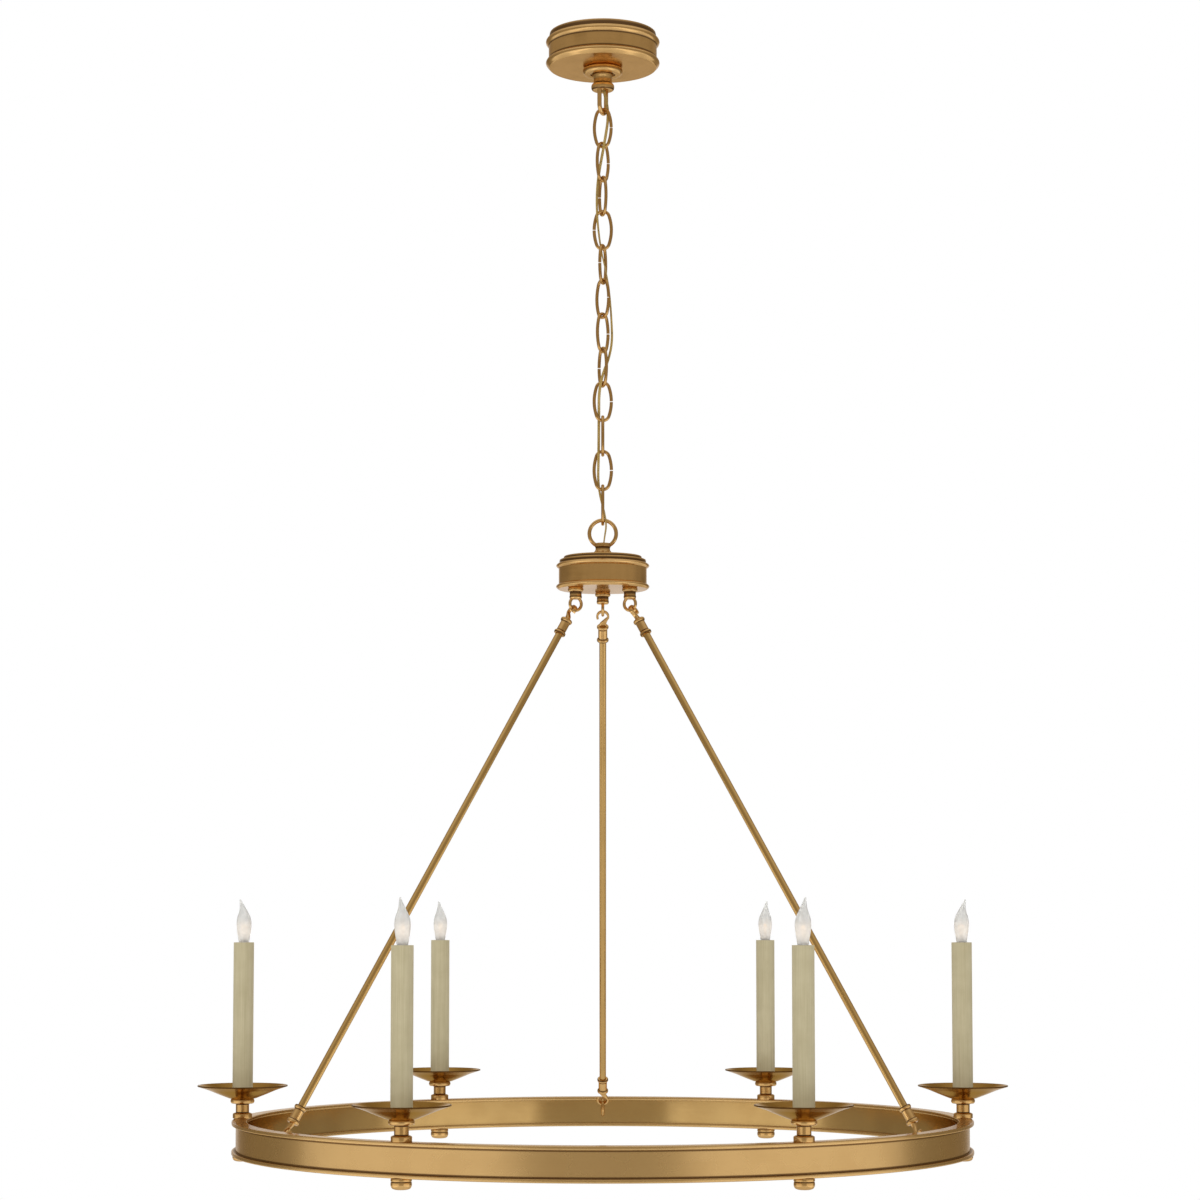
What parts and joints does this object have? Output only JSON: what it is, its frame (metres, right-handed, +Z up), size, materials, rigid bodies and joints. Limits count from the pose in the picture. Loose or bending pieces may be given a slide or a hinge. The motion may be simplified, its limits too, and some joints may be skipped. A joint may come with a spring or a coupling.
{
  "type": "ring chandelier",
  "caption": "Ring chandelier: a chain from a round canopy carries a hub, whose rods hold a flat ring with candle lamps standing in shallow dishes.",
  "frame": {"origin": "on the ceiling, at the middle of the mounting strap and of the canopy", "axes": "+Z up, +X along the mounting strap, towards one of the candles; a rod hangs towards +Y"},
  "size_m": [0.9, 0.8178, 1.2744],
  "materials": {
    "aged_brass": "antique burnished brass, finely brushed, lacquered",
    "ring_brass": "antique burnished brass, brushed along the band",
    "dish_brass": "antique burnished brass, spun",
    "plated_steel": "zinc plated",
    "earth_screw": "green painted",
    "gold_cord": "translucent gold insulation over twisted strands",
    "candle_sleeve": "satin, greenish beige with fine upright streaks",
    "socket_plastic": "moulded phenolic",
    "wire_connector": "moulded",
    "lead_insulation": "satin",
    "bulb_glass": "clear glass, slightly frosted"
  },
  "bodies": {
    "ceiling_mount": {"mounting_strap": "plated_steel", "ground_screw": "earth_screw", "canopy_nipple": "plated_steel", "nipple_locknuts": "plated_steel", "canopy_loop": "aged_brass", "lamp_cord": "gold_cord"},
    "canopy_cover": {"canopy": "aged_brass", "canopy_collar": "aged_brass"},
    "link_01": {"chain_link_01": "aged_brass"},
    "link_02": {"chain_link_02": "aged_brass"},
    "link_03": {"chain_link_03": "aged_brass"},
    "link_04": {"chain_link_04": "aged_brass"},
    "link_05": {"chain_link_05": "aged_brass"},
    "link_06": {"chain_link_06": "aged_brass"},
    "link_07": {"chain_link_07": "aged_brass"},
    "link_08": {"chain_link_08": "aged_brass"},
    "link_09": {"chain_link_09": "aged_brass"},
    "link_10": {"chain_link_10": "aged_brass"},
    "link_11": {"chain_link_11": "aged_brass"},
    "link_12": {"chain_link_12": "aged_brass"},
    "hub": {"hub_loop": "aged_brass", "hub_top_cap": "aged_brass", "hub_band": "aged_brass", "hub_base_plate": "aged_brass", "hub_nipple": "plated_steel", "hub_locknuts": "plated_steel", "wire_nuts": "wire_connector", "hub_eyes": "aged_brass"},
    "rod_left": {"rod_tube_left": "aged_brass", "rod_hooks_left": "aged_brass"},
    "rod_right": {"rod_tube_right": "aged_brass", "rod_hooks_right": "aged_brass"},
    "rod_back": {"rod_tube_back": "aged_brass", "rod_hooks_back": "aged_brass"},
    "ring": {"ring_channel": "ring_brass", "ring_inner_band": "ring_brass", "ring_eyes": "ring_brass", "ring_harness": "lead_insulation", "candle_columns": "aged_brass", "candle_stems": "plated_steel", "cap_nuts": "aged_brass", "candle_sockets": "socket_plastic", "bobeche_1": "dish_brass", "bobeche_2": "dish_brass", "bobeche_3": "dish_brass", "bobeche_4": "dish_brass", "bobeche_5": "dish_brass", "bobeche_6": "dish_brass", "candle_sleeve_1": "candle_sleeve", "candle_sleeve_2": "candle_sleeve", "candle_sleeve_3": "candle_sleeve", "candle_sleeve_4": "candle_sleeve", "candle_sleeve_5": "candle_sleeve", "candle_sleeve_6": "candle_sleeve"},
    "bulb_body_1": {"bulb_1": "bulb_glass"},
    "bulb_body_2": {"bulb_2": "bulb_glass"},
    "bulb_body_3": {"bulb_3": "bulb_glass"},
    "bulb_body_4": {"bulb_4": "bulb_glass"},
    "bulb_body_5": {"bulb_5": "bulb_glass"},
    "bulb_body_6": {"bulb_6": "bulb_glass"}
  },
  "joints": [
    {"name": "canopy_drop", "type": "slide", "parent": "ceiling_mount", "child": "canopy_cover", "axis": [0, 0, -1], "range_m": [0, 0.04]},
    {"name": "link_01_swing", "type": "hinge", "parent": "ceiling_mount", "child": "link_01", "pos_m": [0, 0, -0.092], "axis": [0.3907, 0.9205, 0], "range_deg": [-30, 30], "deforming": ["lamp_cord"]},
    {"name": "link_02_swing", "type": "hinge", "parent": "link_01", "child": "link_02", "pos_m": [0, 0, -0.13065], "axis": [-0.9781, 0.2079, 0], "range_deg": [-30, 30]},
    {"name": "link_03_swing", "type": "hinge", "parent": "link_02", "child": "link_03", "pos_m": [0, 0, -0.16995], "axis": [-0.6428, -0.766, 0], "range_deg": [-30, 30]},
    {"name": "link_04_swing", "type": "hinge", "parent": "link_03", "child": "link_04", "pos_m": [0, 0, -0.20925], "axis": [0.3746, -0.9272, 0], "range_deg": [-30, 30]},
    {"name": "link_05_swing", "type": "hinge", "parent": "link_04", "child": "link_05", "pos_m": [0, 0, -0.24855], "axis": [0.9994, -0.0349, 0], "range_deg": [-30, 30]},
    {"name": "link_06_swing", "type": "hinge", "parent": "link_05", "child": "link_06", "pos_m": [0, 0, -0.28785], "axis": [0.342, 0.9397, 0], "range_deg": [-30, 30]},
    {"name": "link_07_swing", "type": "hinge", "parent": "link_06", "child": "link_07", "pos_m": [0, 0, -0.32715], "axis": [-0.682, 0.7314, 0], "range_deg": [-30, 30]},
    {"name": "link_08_swing", "type": "hinge", "parent": "link_07", "child": "link_08", "pos_m": [0, 0, -0.36645], "axis": [-0.6157, -0.788, 0], "range_deg": [-30, 30]},
    {"name": "link_09_swing", "type": "hinge", "parent": "link_08", "child": "link_09", "pos_m": [0, 0, -0.40575], "axis": [0.4226, -0.9063, 0], "range_deg": [-30, 30]},
    {"name": "link_10_swing", "type": "hinge", "parent": "link_09", "child": "link_10", "pos_m": [0, 0, -0.44505], "axis": [0.9925, 0.1219, 0], "range_deg": [-30, 30]},
    {"name": "link_11_swing", "type": "hinge", "parent": "link_10", "child": "link_11", "pos_m": [0, 0, -0.48435], "axis": [0, 1, 0], "range_deg": [-30, 30]},
    {"name": "link_12_swing", "type": "hinge", "parent": "link_11", "child": "link_12", "pos_m": [0, 0, -0.52365], "axis": [-1, 0, 0], "range_deg": [-30, 30]},
    {"name": "hub_swing", "type": "hinge", "parent": "link_12", "child": "hub", "pos_m": [0, 0, -0.56295], "axis": [0, -1, 0], "range_deg": [-30, 30]},
    {"name": "ring_twist", "type": "hinge", "parent": "hub", "child": "ring", "pos_m": [0, 0, -1.227], "axis": [0, 0, 1], "range_deg": [-4, 4]},
    {"name": "rod_left_lean", "type": "hinge", "parent": "hub", "child": "rod_left", "pos_m": [-0.03355, -0.01937, -0.66131], "axis": [-0.7416, -0.4282, 0.5163], "range_deg": [-2.4, 2.4]},
    {"name": "rod_right_lean", "type": "hinge", "parent": "hub", "child": "rod_right", "pos_m": [0.03355, -0.01937, -0.66131], "axis": [0.7416, -0.4282, 0.5163], "range_deg": [-2.4, 2.4]},
    {"name": "rod_back_lean", "type": "hinge", "parent": "hub", "child": "rod_back", "pos_m": [0, 0.03874, -0.66131], "axis": [0, 0.8564, 0.5163], "range_deg": [-2.4, 2.4]},
    {"name": "bulb_1_out", "type": "slide", "parent": "ring", "child": "bulb_body_1", "axis": [0, 0, 1], "range_m": [0, 0.03]},
    {"name": "bulb_2_out", "type": "slide", "parent": "ring", "child": "bulb_body_2", "axis": [0, 0, 1], "range_m": [0, 0.03]},
    {"name": "bulb_3_out", "type": "slide", "parent": "ring", "child": "bulb_body_3", "axis": [0, 0, 1], "range_m": [0, 0.03]},
    {"name": "bulb_4_out", "type": "slide", "parent": "ring", "child": "bulb_body_4", "axis": [0, 0, 1], "range_m": [0, 0.03]},
    {"name": "bulb_5_out", "type": "slide", "parent": "ring", "child": "bulb_body_5", "axis": [0, 0, 1], "range_m": [0, 0.03]},
    {"name": "bulb_6_out", "type": "slide", "parent": "ring", "child": "bulb_body_6", "axis": [0, 0, 1], "range_m": [0, 0.03]}
  ],
  "couplings": [
    {"joint": "rod_left_lean", "follows": "ring_twist", "ratio": 0.57455},
    {"joint": "rod_right_lean", "follows": "ring_twist", "ratio": 0.57455},
    {"joint": "rod_back_lean", "follows": "ring_twist", "ratio": 0.57455}
  ]
}
